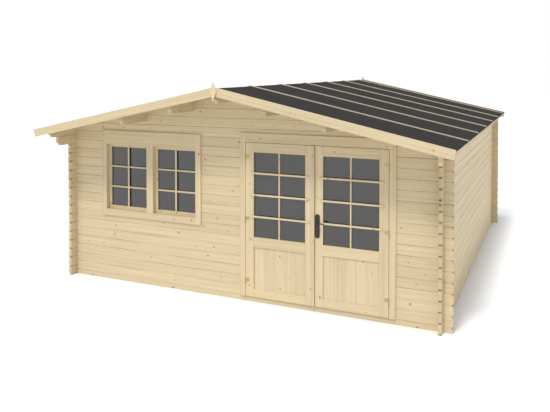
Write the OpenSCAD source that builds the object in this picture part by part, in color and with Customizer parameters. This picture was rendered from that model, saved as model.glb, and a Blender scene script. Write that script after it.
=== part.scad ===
// Log-built garden shed: crossed log walls, low gable roof, glazed double door and a double window.
// Front faces -Y, +Z is up, and the origin is on the ground under the middle of the whole shed.

/* [Logs] */
// Height of one log course
log_h = 115; // [108:1:124]
// Thickness of a log
log_t = 34; // [28:1:46]
// Reach of a log's end beyond the centre of the wall that it crosses
log_end = 120; // [90:5:140]
// Bevel along a log's faces, which makes a V-groove at each joint
log_groove = 4; // [2:0.5:8]
// Bevel at the top and bottom of a log's end
log_end_bevel = 16; // [6:1:20]
// Play in crossed notches and around what is slotted over the logs
log_fit = 0.25; // [0.1:0.05:0.6]

/* [Walls] */
// Distance between the centres of the side walls
wall_span = 4760; // [4500:20:5400]
// Distance between the centres of the front and rear walls
wall_depth = 5160; // [3600:20:6600]
// Courses of a side wall below its two stepped top logs
wall_courses = 15; // [15:1:17]
// Reach of the left wall's lower stepped log in front of the front wall
left_step_low = 350; // [220:10:400]
// Reach of the left wall's upper stepped log in front of the front wall
left_step_high = 490; // [460:10:510]
// Reach of the right wall's lower stepped log in front of the front wall
right_step_low = 180; // [140:10:200]
// Reach of the right wall's upper stepped log in front of the front wall
right_step_high = 270; // [260:10:510]
// Bevel under the front end of a stepped log
step_bevel = 45; // [15:5:60]

/* [Roof] */
// Pitch of each slope in degrees
roof_pitch = 12.2; // [10:0.1:16]
// Reach of the eaves beyond the centre of a side wall
eave_overhang = 210; // [160:10:400]
// Reach of the front bargeboards' face beyond the front wall's centre
front_overhang = 534; // [534:2:800]
// Reach of the rear bargeboards' face beyond the rear wall's centre
rear_overhang = 165; // [165:5:400]
// Thickness of the roof boards
deck_t = 18; // [14:1:28]
// Thickness of the roofing felt
felt_t = 4; // [2:0.5:6]
// Width of a batten over a seam of the felt
batten_w = 24; // [24:1:50]
// Height of a batten
batten_t = 10; // [10:1:25]
// Distance between battens
batten_pitch = 930; // [600:10:1000]
// Distance from the front edge of the roof boards to the first batten
batten_first = 910; // [400:10:960]
// Distance from a batten's lower end to the eaves
batten_short = 6; // [0:2:60]
// Gap left between a batten and the felt
batten_fit = 0.05; // [0.02:0.01:0.3]

/* [Purlins] */
// Height of a purlin at its middle
purlin_h = 145; // [110:5:170]
// Thickness of a side purlin
purlin_w = 48; // [40:2:80]
// Thickness of the ridge purlin
ridge_purlin_w = 54; // [50:2:90]
// Distance from the ridge to the inner purlins
purlin_inner_x = 590; // [450:10:750]
// Distance from the ridge to the outer purlins
purlin_outer_x = 1270; // [1050:5:1400]
// Bevel under the front end of a purlin
purlin_bevel = 45; // [20:5:70]

/* [Bargeboards] */
// Width of a bargeboard, square to the slope
barge_w = 98; // [80:1:140]
// Thickness of a bargeboard
barge_t = 20; // [14:1:28]
// Height of a bargeboard's edge over the felt, square to the slope
barge_lip = 12; // [0:1:25]
// Height of the diamond finial
finial_h = 208; // [150:2:260]
// Width of the diamond finial
finial_w = 80; // [50:2:110]
// Thickness of the diamond finial
finial_t = 18; // [12:1:28]
// Height of the finial's tip over the peak of the bargeboards
finial_rise = 52; // [20:2:80]

/* [Doorway] */
// Place of the doorway's middle along the front wall
door_x = 990; // [950:5:1010]
// Width of the gap in the logs
door_gap_w = 1747; // [1600:1:1760]
// Courses from the sill log to the top of the gap
door_courses = 16; // [16:1:17]
// Thickness of a jamb inside the gap
jamb_t = 25; // [18:1:35]
// Thickness of the casing on each face of the wall
casing_t = 18; // [12:1:28]
// Lap of the casing over the wall beside a gap
casing_lap = 44; // [30:1:60]
// Thickness of the door's head inside the gap
door_head_t = 38; // [25:1:45]
// Lap of the door's head over the logs above it
door_head_lap = 69; // [40:1:90]
// Width of the stop that a leaf closes against
stop_w = 15; // [10:1:25]

/* [Door leaves] */
// Thickness of a leaf
leaf_t = 40; // [34:1:44]
// Gap around a leaf
leaf_gap = 5; // [5:0.5:8]
// Gap between the leaves
meet_gap = 6.5; // [6.5:0.5:12]
// Place of that gap to the right of the doorway's middle
meet_offset = 12; // [0:1:30]
// Width of a stile on the hinge side
hinge_stile = 104; // [80:1:140]
// Width of the left leaf's stile at the meeting gap
left_meet_stile = 113; // [80:1:140]
// Width of the right leaf's stile at the meeting gap
right_meet_stile = 92; // [80:1:120]
// Height of a leaf's top rail
top_rail = 110; // [80:1:150]
// Height of a leaf's bottom rail
bottom_rail = 92; // [60:1:140]
// Height of a leaf's middle rail
mid_rail = 117; // [80:1:150]
// Height of the middle rail's underside over the ground
mid_rail_z = 642; // [450:1:700]
// Thickness of the boarded panel
panel_t = 18; // [12:1:24]
// Width of a board in the panel
panel_board_w = 128; // [70:1:140]
// Bevel along the boards in the panel
panel_groove = 2; // [1:0.5:5]
// Width of the strip beside the meeting gap
strip_w = 28; // [20:1:50]
// Thickness of that strip
strip_t = 12; // [8:1:18]
// Bevel along that strip
strip_bevel = 3; // [1:0.5:5]

/* [Glass] */
// Thickness of a pane
glass_t = 4; // [3:0.5:8]
// Depth of the groove that holds a pane or a panel
glass_seat = 9; // [5:1:14]
// Play around a pane or a panel in its groove
glass_fit = 0.3; // [0.1:0.05:0.6]

/* [Hinges] */
// Height of a hinge
hinge_h = 76; // [40:2:80]
// Radius of a hinge's barrel
hinge_r = 6; // [5:0.5:9]
// Distance from the barrel to the faces behind it
hinge_off = 0.5; // [0.3:0.1:2]
// Radius of the hinge pin
hinge_pin_r = 3; // [2:0.25:4]
// Play between the pin and its bore
hinge_pin_fit = 0.06; // [0.02:0.01:0.1]
// Gap between the two barrels
hinge_seat = 0.3; // [0.1:0.1:0.5]
// Thickness of a hinge plate
hinge_plate_t = 2; // [1:0.5:2.5]
// Width of the plate on the leaf's face
hinge_leaf_w = 50; // [25:1:60]
// Depth of the plate on the jamb's edge
hinge_jamb_w = 28; // [18:1:34]
// Distance from a leaf's bottom to the middle of its lowest hinge
hinge_low = 172; // [120:2:260]
// Distance from a leaf's top to the middle of its highest hinge
hinge_high = 180; // [120:2:260]

/* [Handle] */
// Height of the lever's spindle over the ground
handle_z = 1005; // [900:5:1100]
// Distance from the leaf's edge to the spindle
handle_inset = 28; // [28:1:45]
// Width of a handle plate
handle_plate_w = 52; // [36:1:52]
// Height of a handle plate
handle_plate_h = 265; // [200:1:300]
// Distance from the spindle to the top of the plate
handle_plate_up = 92; // [70:1:130]
// Thickness of a handle plate
handle_plate_t = 8; // [2:0.5:8]
// Distance from the spindle to the keyhole
keyhole_drop = 69; // [40:1:80]
// Radius of the keyhole's round part
keyhole_r = 4.5; // [3:0.5:6]
// Radius of the spindle
spindle_r = 5; // [4:0.5:6]
// Play of the spindle in the plates
spindle_fit = 0.06; // [0.02:0.01:0.1]
// Radius of the lever's round bar
lever_r = 7; // [6:0.5:10]
// Length of the lever's neck
lever_neck = 30; // [20:1:45]
// Radius of the bend between the neck and the grip
lever_bend = 14; // [10:1:20]
// Length of the straight grip
lever_grip = 70; // [50:1:110]
// Gap between the lever's neck and the plate
lever_seat = 0.3; // [0.1:0.1:0.5]

/* [Window] */
// Place of the window's middle along the front wall
window_x = -1190; // [-1220:1:-1150]
// Width of the gap in the logs
window_gap_w = 1374; // [1100:1:1400]
// Courses from the sill log to the bottom of the window's gap
window_low = 7; // [5:1:7]
// Courses in the window's gap
window_courses = 8; // [6:1:8]
// Thickness of the window's head inside the gap
window_head_t = 37; // [25:1:45]
// Lap of the window's head over the logs above it
window_head_lap = 136; // [60:1:150]
// Thickness of the window's sill inside the gap
window_sill_t = 44; // [25:1:55]
// Lap of the window's sill over the logs below it
window_sill_lap = 36; // [30:1:80]
// Width of the mullion
mullion_w = 92; // [60:1:120]
// Width of a sash's stiles and rails
sash_w = 40; // [36:1:70]
// Thickness of a sash
sash_t = 30; // [24:1:36]
// Distance from the wall's inner face to the sash's outer face
sash_inset = 5; // [0:1:12]
// Reach of the window's lining behind a sash
lining_reach = 4; // [0:1:12]
// Play around a sash
sash_fit = 0.3; // [0.1:0.05:0.6]

/* [Hidden] */
$fn = 48;
cut_over = 1;
spindle_clear = 1;
timber = [0.88, 0.79, 0.61];
trim_timber = [0.91, 0.82, 0.65];
felt_grey = [0.26, 0.26, 0.26];
batten_grey = [0.71, 0.71, 0.66];
zinc_yellow = [0.80, 0.68, 0.33];
handle_black = [0.06, 0.06, 0.06];
glass_grey = [0.42, 0.40, 0.42];

front_reach = front_overhang + finial_t;
rear_reach = rear_overhang + finial_t;
y_front = (front_reach - rear_reach - wall_depth) / 2;
y_rear = y_front + wall_depth;
y_roof_front = y_front - front_overhang + barge_t;
y_roof_rear = y_rear + rear_overhang - barge_t;
wall_places = [-wall_span / 2, wall_span / 2];
gable_places = [y_front, y_rear];

plate_course = wall_courses;
step_course = plate_course + 1;
top_course = plate_course + 2;
roof_half = wall_span / 2 + eave_overhang;
felt_top = deck_t + felt_t;
barge_top = felt_top + barge_lip;
purlin_places = [-purlin_outer_x, -purlin_inner_x, 0, purlin_inner_x, purlin_outer_x];

sill_top = log_h / 2;
wall_face = log_t / 2;
casing_face = wall_face + casing_t;
door_left = door_x - door_gap_w / 2;
door_right = door_x + door_gap_w / 2;
door_high = door_courses * log_h + sill_top;
door_head_low = door_high - door_head_t;
door_casing_high = door_high + door_head_lap;
leaf_face = y_front - casing_face;
leaf_back = leaf_face + leaf_t;
stop_face = leaf_back + leaf_gap;
leaf_low = sill_top + leaf_gap;
leaf_high = door_head_low - leaf_gap;
meet_x = door_x + meet_offset;
left_leaf_edge = door_left + jamb_t + leaf_gap;
left_leaf_meet = meet_x - meet_gap / 2;
right_leaf_meet = meet_x + meet_gap / 2;
right_leaf_edge = door_right - jamb_t - leaf_gap;
glass_low = mid_rail_z + mid_rail;
glass_high = leaf_high - top_rail;
panel_low = leaf_low + bottom_rail;

hinge_back = hinge_r + hinge_off;
hinge_y = leaf_face - hinge_back;
hinge_first = leaf_low + hinge_low;
hinge_last = leaf_high - hinge_high;
hinge_heights = [hinge_first, (hinge_first + hinge_last) / 2, hinge_last];
handle_x = right_leaf_meet + handle_inset;

window_left = window_x - window_gap_w / 2;
window_right = window_x + window_gap_w / 2;
window_bottom = window_low * log_h + sill_top;
window_top = window_bottom + window_courses * log_h;
light_low = window_bottom + window_sill_t;
light_high = window_top - window_head_t;
light_left = window_left + jamb_t;
light_right = window_right - jamb_t;
sash_face = wall_face + sash_inset;
lining_back = sash_face + sash_t + lining_reach;

// Underside of the roof boards at a distance from the ridge
function under_roof(x) = top_course * log_h + (wall_span / 2 - abs(x)) * tan(roof_pitch);

// Height at a rise over that underside, the rise being square to the slope
function roof_z(x, rise) = under_roof(x) + rise / cos(roof_pitch);

// One side of a stack of logs, bevelled at each joint, as [distance, height] points
function stack_edge(reach, bevel, first, last) = concat(
    [for (k = [first : last - 1]) each [
        [reach - bevel, k * log_h],
        [reach, k * log_h + bevel],
        [reach, (k + 1) * log_h - bevel]]],
    [[reach - bevel, last * log_h]]);

// The same side turned over to the left and read downwards
function far_edge(points) = [for (i = [len(points) - 1 : -1 : 0]) [-points[i][0], points[i][1]]];

// An X-Z outline carried along Y
module along_y(y0, y1)
    translate([0, y1, 0]) rotate([90, 0, 0]) linear_extrude(y1 - y0) children();

// A Y-Z outline carried along X
module along_x(x0, x1)
    translate([x0, 0, 0]) rotate([90, 0, 90]) linear_extrude(x1 - x0) children();

// An X-Y outline carried along Z
module along_z(z0, z1)
    translate([0, 0, z0]) linear_extrude(z1 - z0) children();

// A rectangle from its left, low corner to its right, high corner
module span_rect(low, high)
    translate(low) square(high - low);

// A box between two corners
module span_box(low, high)
    translate(low) cube(high - low);

// Section of a stack of logs, across the wall
module stack_section(first, last) {
    edge = stack_edge(wall_face, log_groove, first, last);
    polygon(concat(edge, far_edge(edge)));
}

// Gaps in a wall where the logs of crossing walls pass, centred on the given courses
module crossing_gaps(places, first, last, middle, spare) {
    for (p = places, k = [first : last])
        translate([p, (k + middle) * log_h])
            square([log_t + 2 * log_fit, log_h / 2 + 2 * spare], center = true);
}

// All that lies under the roof boards, seen from the front
module roof_area() {
    eave = [roof_half, under_roof(roof_half)];
    polygon([[-eave[0], 0], [eave[0], 0], eave, [0, under_roof(0)], [-eave[0], eave[1]]]);
}

// Seats of the purlins in a gable
module purlin_seats() {
    for (x = purlin_places) {
        half = (x == 0 ? ridge_purlin_w : purlin_w) / 2 + log_fit;
        low = under_roof(x) - purlin_h - log_fit;
        span_rect([x - half, low], [x + half, low + 2 * purlin_h]);
    }
}

// Logs of a front or rear wall between two joints and two places along it
module gable_logs(y, first, last, x0, x1) {
    low = floor(first);
    high = ceil(last);
    edge = stack_edge(wall_span / 2 + log_end, log_end_bevel, first, last);
    intersection() {
        along_y(y - log_t, y + log_t) difference() {
            intersection() {
                polygon(concat(edge, far_edge(edge)));
                span_rect([x0, max(0, first * log_h)], [x1, last * log_h]);
                roof_area();
            }
            crossing_gaps(wall_places, low, high, 0.5, 0);
            purlin_seats();
        }
        along_x(-roof_half, roof_half) translate([y, 0]) stack_section(first, last);
    }
}

// Logs of a side wall up to the stepped ones
module side_logs(x) {
    edge = stack_edge(wall_depth / 2 + log_end, log_end_bevel, 0, plate_course);
    middle = (y_front + y_rear) / 2;
    intersection() {
        along_x(x - log_t, x + log_t) difference() {
            translate([middle, 0]) polygon(concat(edge, far_edge(edge)));
            crossing_gaps(gable_places, 0, plate_course, 0, log_fit);
        }
        along_y(y_front - log_end, y_rear + log_end) translate([x, 0])
            stack_section(0, plate_course);
    }
}

// The two stepped logs on top of a side wall, planed to the roof's slope
module side_plate(x, reach_low, reach_high) {
    low = plate_course * log_h;
    step = step_course * log_h;
    high = (top_course + 1) * log_h;
    front_low = y_front - reach_low;
    front_high = y_front - reach_high;
    rear = y_rear + log_end;
    side_edge = concat(stack_edge(wall_face, log_groove, plate_course, step_course),
        [[wall_face, step + log_groove], [wall_face, high]]);
    intersection() {
        along_x(x - log_t, x + log_t) difference() {
            polygon([
                [front_low + step_bevel, low],
                [rear - log_end_bevel, low],
                [rear, low + log_end_bevel],
                [rear, step - log_end_bevel],
                [rear - log_end_bevel, step],
                [rear, step + log_end_bevel],
                [rear, high],
                [front_high, high],
                [front_high, step + step_bevel],
                [front_high + step_bevel, step],
                [front_low, step],
                [front_low, low + step_bevel]]);
            crossing_gaps(gable_places, plate_course, top_course, 0, log_fit);
        }
        along_y(front_high, rear) intersection() {
            translate([x, 0]) polygon(concat(side_edge, far_edge(side_edge)));
            roof_area();
        }
    }
}

// A roof timber under the boards, bevelled under its front end
module purlin(x, width) {
    low = under_roof(x) - purlin_h;
    high = under_roof(0);
    intersection() {
        along_y(y_roof_front, y_roof_rear) intersection() {
            span_rect([x - width / 2, low], [x + width / 2, high]);
            roof_area();
        }
        along_x(x - width, x + width) polygon([
            [y_roof_front + purlin_bevel, low],
            [y_roof_rear, low],
            [y_roof_rear, high],
            [y_roof_front, high],
            [y_roof_front, low + purlin_bevel]]);
    }
}

// Outline of a sheet that lies on one slope, between two rises over the boards' underside
module slope_sheet(side, reach, low, high) {
    polygon([
        [0, roof_z(0, low)],
        [side * reach, roof_z(reach, low)],
        [side * reach, roof_z(reach, high)],
        [0, roof_z(0, high)]]);
}

// Battens down one slope, one over each seam of the felt
module slope_battens(side) {
    low = felt_top + batten_fit;
    for (y = [y_roof_front + batten_first : batten_pitch : y_roof_rear - 2 * batten_w])
        along_y(y, y + batten_w) slope_sheet(side, roof_half - batten_short, low, low + batten_t);
}

// A board along the edge of one slope, mitred at the ridge and cut square at the eaves
module bargeboard(side, y) {
    end = [side * roof_half, roof_z(roof_half, barge_top)];
    square_cut = barge_w * [side * sin(roof_pitch), cos(roof_pitch)];
    along_y(y, y + barge_t) polygon([
        [0, roof_z(0, barge_top)],
        end,
        end - square_cut,
        [0, roof_z(0, barge_top - barge_w)]]);
}

// A diamond over the mitre of the bargeboards
module finial(y) {
    tip = roof_z(0, barge_top) + finial_rise;
    along_y(y, y + finial_t) polygon([
        [0, tip],
        [finial_w / 2, tip - finial_h / 2],
        [0, tip - finial_h],
        [-finial_w / 2, tip - finial_h / 2]]);
}

// Section of a jamb slotted over the log ends: x runs from the wall into the gap, y through the wall
module jamb_section(back) {
    slot = wall_face + log_fit;
    polygon([
        [-casing_lap, -casing_face],
        [jamb_t, -casing_face],
        [jamb_t, back],
        [0, back],
        [0, casing_face],
        [-casing_lap, casing_face],
        [-casing_lap, slot],
        [log_fit, slot],
        [log_fit, -slot],
        [-casing_lap, -slot]]);
}

// The casing boards of a jamb on both faces of the wall
module casing_section() {
    slot = wall_face + log_fit;
    span_rect([-casing_lap, -casing_face], [jamb_t, -slot]);
    span_rect([-casing_lap, slot], [jamb_t, casing_face]);
}

// A jamb of the doorway with its stop, set at x = 0 and turned into the gap
module door_jamb() {
    stop_y = stop_face - y_front;
    along_z(sill_top, door_high - log_fit) jamb_section(casing_face);
    along_z(door_high - log_fit, door_casing_high) casing_section();
    along_z(sill_top, door_head_low - stop_w - log_fit)
        span_rect([jamb_t, stop_y], [jamb_t + stop_w, casing_face]);
}

// Stiles and rails of a leaf, grooved for the pane and the panel
module leaf_frame(x0, x1, left_stile, right_stile) {
    left = x0 + left_stile;
    right = x1 - right_stile;
    difference() {
        span_box([x0, leaf_face, leaf_low], [x1, leaf_back, leaf_high]);
        span_box([left, leaf_face - cut_over, glass_low], [right, leaf_back + cut_over, glass_high]);
        span_box([left, leaf_face - cut_over, panel_low], [right, leaf_back + cut_over, mid_rail_z]);
        leaf_filling(left, right, glass_low, glass_high, glass_t, glass_fit);
        leaf_filling(left, right, panel_low, mid_rail_z, panel_t, glass_fit);
    }
}

// A plain sheet in the middle of a leaf, let into the groove around an opening
module leaf_filling(left, right, low, high, thick, spare) {
    edge = glass_seat + spare;
    middle = (leaf_face + leaf_back) / 2;
    half = thick / 2 + spare;
    span_box([left - edge, middle - half, low - edge], [right + edge, middle + half, high + edge]);
}

// Upright boards of a leaf's lower part, with a V-groove at each joint on both faces
module leaf_panel(left, right) {
    middle = (leaf_face + leaf_back) / 2;
    low = [left - glass_seat, middle - panel_t / 2];
    high = [right + glass_seat, middle + panel_t / 2];
    along_z(panel_low - glass_seat, mid_rail_z + glass_seat) difference() {
        span_rect(low, high);
        for (x = [left + panel_board_w : panel_board_w : right - panel_groove], y = [low[1], high[1]])
            translate([x, y]) rotate(45) square(panel_groove * sqrt(2), center = true);
    }
}

// Fixed half of a hinge: a plate on the jamb's edge, the lower barrel and the pin
module hinge_pin_half() {
    jamb_x = -leaf_gap / 2;
    half = hinge_h / 2;
    translate([0, 0, -half]) cylinder(r = hinge_r, h = half - hinge_seat / 2);
    translate([0, 0, -half]) cylinder(r = hinge_pin_r, h = hinge_h);
    span_box([jamb_x, 0, -half], [jamb_x + hinge_plate_t, hinge_back, -hinge_seat / 2]);
    span_box([jamb_x, hinge_back, -half], [jamb_x + hinge_plate_t, hinge_back + hinge_jamb_w, half]);
}

// Moving half of a hinge: a plate on the leaf's face and the bored upper barrel
module hinge_plate_half() {
    half = hinge_h / 2;
    plate_y = hinge_back - hinge_plate_t;
    difference() {
        union() {
            translate([0, 0, hinge_seat / 2]) cylinder(r = hinge_r, h = half - hinge_seat / 2);
            span_box([0, plate_y, hinge_seat / 2], [hinge_leaf_w, hinge_back, half]);
        }
        translate([0, 0, -half]) cylinder(r = hinge_pin_r + hinge_pin_fit, h = 2 * hinge_h);
    }
}

// One half of a hinge at each height, at the left leaf or turned over for the right leaf
module hinge_row(side) {
    x = side < 0 ? left_leaf_edge - leaf_gap / 2 : right_leaf_edge + leaf_gap / 2;
    for (z = hinge_heights)
        translate([x, hinge_y, z]) mirror([side < 0 ? 0 : 1, 0, 0]) children();
}

// Outline of a handle plate with its spindle bore and keyhole, centred on the spindle
module handle_plate_outline() {
    half = handle_plate_w / 2;
    high = handle_plate_up - half;
    low = high - handle_plate_h + handle_plate_w;
    difference() {
        union() {
            span_rect([-half, low], [half, high]);
            translate([0, high]) circle(half);
            translate([0, low]) circle(half);
        }
        circle(spindle_r + spindle_fit);
        translate([0, -keyhole_drop]) circle(keyhole_r);
        span_rect([-keyhole_r / 2, -keyhole_drop - 3 * keyhole_r], [keyhole_r / 2, -keyhole_drop]);
    }
}

// One side of the lever, from its spindle out along -Y and then along +X
module lever_arm() {
    rotate([90, 0, 0]) cylinder(r = lever_r, h = lever_neck);
    translate([lever_bend, -lever_neck, 0]) rotate([0, 0, 180])
        rotate_extrude(angle = 90) translate([lever_bend, 0]) circle(lever_r);
    translate([lever_bend, -lever_neck - lever_bend, 0]) {
        rotate([0, 90, 0]) cylinder(r = lever_r, h = lever_grip);
        translate([lever_grip, 0, 0]) sphere(lever_r);
    }
}

// Head or sill of the window in Y-Z: the reach is up for the head, down for the sill
module rail_section(edge, thick, lap, reach) {
    slot = wall_face + log_fit;
    polygon([
        [y_front - casing_face, edge - reach * thick],
        [y_front + lining_back, edge - reach * thick],
        [y_front + lining_back, edge],
        [y_front + casing_face, edge],
        [y_front + casing_face, edge + reach * lap],
        [y_front + slot, edge + reach * lap],
        [y_front + slot, edge - reach * log_fit],
        [y_front - slot, edge - reach * log_fit],
        [y_front - slot, edge + reach * lap],
        [y_front - casing_face, edge + reach * lap]]);
}

// A jamb of the window, set at x = 0 and turned into the gap
module window_jamb() {
    along_z(window_bottom + log_fit, window_top - log_fit) jamb_section(lining_back);
    along_z(window_bottom - window_sill_lap, window_bottom + log_fit) casing_section();
    along_z(window_top - log_fit, window_top + window_head_lap) casing_section();
}

// A sash between two places along the wall, grooved for its pane
module window_sash(x0, x1) {
    low = [x0 + sash_fit, y_front + sash_face, light_low + sash_fit];
    high = [x1 - sash_fit, y_front + sash_face + sash_t, light_high - sash_fit];
    difference() {
        span_box(low, high);
        span_box(low + [sash_w, -cut_over, sash_w], high + [-sash_w, cut_over, -sash_w]);
        sash_pane(x0, x1, glass_fit);
    }
}

// The pane of a sash, in the middle of its thickness
module sash_pane(x0, x1, spare) {
    inset = sash_fit + sash_w - glass_seat - spare;
    middle = y_front + sash_face + sash_t / 2;
    half = glass_t / 2 + spare;
    span_box([x0 + inset, middle - half, light_low + inset],
        [x1 - inset, middle + half, light_high - inset]);
}

// Front wall
module front_sill_log() color(timber) gable_logs(y_front, -0.5, 0.5, -roof_half, roof_half);
module front_wall_below_window() color(timber)
    gable_logs(y_front, 0.5, window_low + 0.5, -roof_half, door_left);
module front_wall_beside_window() color(timber)
    gable_logs(y_front, window_low + 0.5, window_low + window_courses + 0.5, -roof_half, window_left);
module front_wall_between() color(timber)
    gable_logs(y_front, window_low + 0.5, window_low + window_courses + 0.5, window_right, door_left);
module front_wall_over_window() color(timber)
    gable_logs(y_front, window_low + window_courses + 0.5, door_courses + 0.5, -roof_half, door_left);
module front_wall_right() color(timber)
    gable_logs(y_front, 0.5, door_courses + 0.5, door_right, roof_half);
module front_gable() color(timber)
    gable_logs(y_front, door_courses + 0.5, ceil(under_roof(0) / log_h) + 0.5, -roof_half, roof_half);

// Side walls and rear wall
module left_wall() color(timber) side_logs(-wall_span / 2);
module left_wall_plate() color(timber)
    side_plate(-wall_span / 2, left_step_low, left_step_high);
module right_wall() color(timber) side_logs(wall_span / 2);
module right_wall_plate() color(timber)
    side_plate(wall_span / 2, right_step_low, right_step_high);
module rear_wall() color(timber)
    gable_logs(y_rear, -0.5, ceil(under_roof(0) / log_h) + 0.5, -roof_half, roof_half);

// Roof
module ridge_purlin() color(timber) purlin(0, ridge_purlin_w);
module left_purlins() color(timber) for (x = [-purlin_outer_x, -purlin_inner_x]) purlin(x, purlin_w);
module right_purlins() color(timber) for (x = [purlin_inner_x, purlin_outer_x]) purlin(x, purlin_w);
module left_roof_deck() color(timber)
    along_y(y_roof_front, y_roof_rear) slope_sheet(-1, roof_half, 0, deck_t);
module right_roof_deck() color(timber)
    along_y(y_roof_front, y_roof_rear) slope_sheet(1, roof_half, 0, deck_t);
module roof_felt() {
    eave_edge = [
        [0, roof_z(0, felt_top)],
        [roof_half, roof_z(roof_half, felt_top)],
        [roof_half, roof_z(roof_half, deck_t)]];
    ridge = [[0, roof_z(0, deck_t)]];
    color(felt_grey) along_y(y_roof_front, y_roof_rear)
        polygon(concat(eave_edge, ridge, [for (p = far_edge(eave_edge)) if (p[0] < 0) p]));
}
module left_roof_battens() color(batten_grey) slope_battens(-1);
module right_roof_battens() color(batten_grey) slope_battens(1);
module front_left_bargeboard() color(trim_timber) bargeboard(-1, y_front - front_overhang);
module front_right_bargeboard() color(trim_timber) bargeboard(1, y_front - front_overhang);
module rear_left_bargeboard() color(trim_timber) bargeboard(-1, y_roof_rear);
module rear_right_bargeboard() color(trim_timber) bargeboard(1, y_roof_rear);
module finials() color(trim_timber) {
    finial(y_front - front_reach);
    finial(y_rear + rear_overhang);
}

// Doorway
module door_left_jamb() color(trim_timber) translate([door_left, y_front, 0]) door_jamb();
module door_right_jamb() color(trim_timber) translate([door_right, y_front, 0]) mirror([1, 0, 0]) door_jamb();
module door_head() {
    x0 = door_left + jamb_t + log_fit;
    x1 = door_right - jamb_t - log_fit;
    slot = wall_face + log_fit;
    color(trim_timber) along_x(x0, x1) polygon([
        [y_front - casing_face, door_head_low],
        [stop_face, door_head_low],
        [stop_face, door_head_low - stop_w],
        [y_front + casing_face, door_head_low - stop_w],
        [y_front + casing_face, door_casing_high],
        [y_front + slot, door_casing_high],
        [y_front + slot, door_high - log_fit],
        [y_front - slot, door_high - log_fit],
        [y_front - slot, door_casing_high],
        [y_front - casing_face, door_casing_high]]);
}

// Left leaf
module left_door_frame() color(trim_timber)
    leaf_frame(left_leaf_edge, left_leaf_meet, hinge_stile, left_meet_stile);
module left_door_panel() color(trim_timber)
    leaf_panel(left_leaf_edge + hinge_stile, left_leaf_meet - left_meet_stile);
module left_door_glass() color(glass_grey)
    leaf_filling(left_leaf_edge + hinge_stile, left_leaf_meet - left_meet_stile,
        glass_low, glass_high, glass_t, 0);
module door_cover_strip() {
    x0 = left_leaf_meet - strip_w;
    front = leaf_face - strip_t;
    color(trim_timber) along_z(leaf_low, leaf_high) polygon([
        [x0, leaf_face],
        [x0, front + strip_bevel],
        [x0 + strip_bevel, front],
        [left_leaf_meet - strip_bevel, front],
        [left_leaf_meet, front + strip_bevel],
        [left_leaf_meet, leaf_face]]);
}

// Right leaf, bored for the spindle
module right_door_frame() color(trim_timber) difference() {
    leaf_frame(right_leaf_meet, right_leaf_edge, right_meet_stile, hinge_stile);
    translate([handle_x, leaf_back + cut_over, handle_z]) rotate([90, 0, 0])
        cylinder(r = spindle_r + spindle_clear, h = leaf_t + 2 * cut_over);
}
module right_door_panel() color(trim_timber)
    leaf_panel(right_leaf_meet + right_meet_stile, right_leaf_edge - hinge_stile);
module right_door_glass() color(glass_grey)
    leaf_filling(right_leaf_meet + right_meet_stile, right_leaf_edge - hinge_stile,
        glass_low, glass_high, glass_t, 0);

// Hinges
module left_hinge_pins() color(zinc_yellow) hinge_row(-1) hinge_pin_half();
module right_hinge_pins() color(zinc_yellow) hinge_row(1) hinge_pin_half();
module left_hinge_plates() color(zinc_yellow) hinge_row(-1) hinge_plate_half();
module right_hinge_plates() color(zinc_yellow) hinge_row(1) hinge_plate_half();

// Handle: a plate on each face of the right leaf and one lever through both
module handle_plates() color(handle_black) translate([handle_x, 0, handle_z]) {
    along_y(leaf_face - handle_plate_t, leaf_face) handle_plate_outline();
    along_y(leaf_back, leaf_back + handle_plate_t) handle_plate_outline();
}
module handle_lever() {
    out = leaf_face - handle_plate_t - lever_seat;
    in = leaf_back + handle_plate_t + lever_seat;
    color(handle_black) translate([handle_x, 0, handle_z]) {
        translate([0, in, 0]) rotate([90, 0, 0]) cylinder(r = spindle_r, h = in - out);
        translate([0, out, 0]) lever_arm();
        translate([0, in, 0]) mirror([0, 1, 0]) lever_arm();
    }
}

// Window
module window_jambs() color(trim_timber) {
    translate([window_left, y_front, 0]) window_jamb();
    translate([window_right, y_front, 0]) mirror([1, 0, 0]) window_jamb();
}
module window_head() color(trim_timber)
    along_x(light_left + log_fit, light_right - log_fit)
        rail_section(window_top, window_head_t, window_head_lap, 1);
module window_sill() color(trim_timber)
    along_x(light_left + log_fit, light_right - log_fit)
        rail_section(window_bottom, window_sill_t, window_sill_lap, -1);
module window_mullion() color(trim_timber)
    span_box([window_x - mullion_w / 2, y_front - casing_face, light_low],
        [window_x + mullion_w / 2, y_front + lining_back, light_high]);
module window_sashes() color(trim_timber) {
    window_sash(light_left, window_x - mullion_w / 2);
    window_sash(window_x + mullion_w / 2, light_right);
}
module window_glass() color(glass_grey) {
    sash_pane(light_left, window_x - mullion_w / 2, 0);
    sash_pane(window_x + mullion_w / 2, light_right, 0);
}

front_sill_log();
front_wall_below_window();
front_wall_beside_window();
front_wall_between();
front_wall_over_window();
front_wall_right();
front_gable();
left_wall();
left_wall_plate();
right_wall();
right_wall_plate();
rear_wall();
ridge_purlin();
left_purlins();
right_purlins();
left_roof_deck();
right_roof_deck();
roof_felt();
left_roof_battens();
right_roof_battens();
front_left_bargeboard();
front_right_bargeboard();
rear_left_bargeboard();
rear_right_bargeboard();
finials();
door_left_jamb();
door_right_jamb();
door_head();
left_door_frame();
left_door_panel();
left_door_glass();
door_cover_strip();
right_door_frame();
right_door_panel();
right_door_glass();
left_hinge_pins();
right_hinge_pins();
left_hinge_plates();
right_hinge_plates();
handle_plates();
handle_lever();
window_jambs();
window_head();
window_sill();
window_mullion();
window_sashes();
window_glass();
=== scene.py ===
# %% [markdown]
# A log-built garden shed. The solids hold its true form: walls of stacked logs that cross at the
# corners, a felted roof on purlins, a glazed double door and a double window. This lesson loads those
# solids, gives each timber, felt, metal and glass surface a finish made of shader nodes, and adds the
# small pieces the solids leave out, such as glazing bars and screws. Lengths are in metres.

import math

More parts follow.
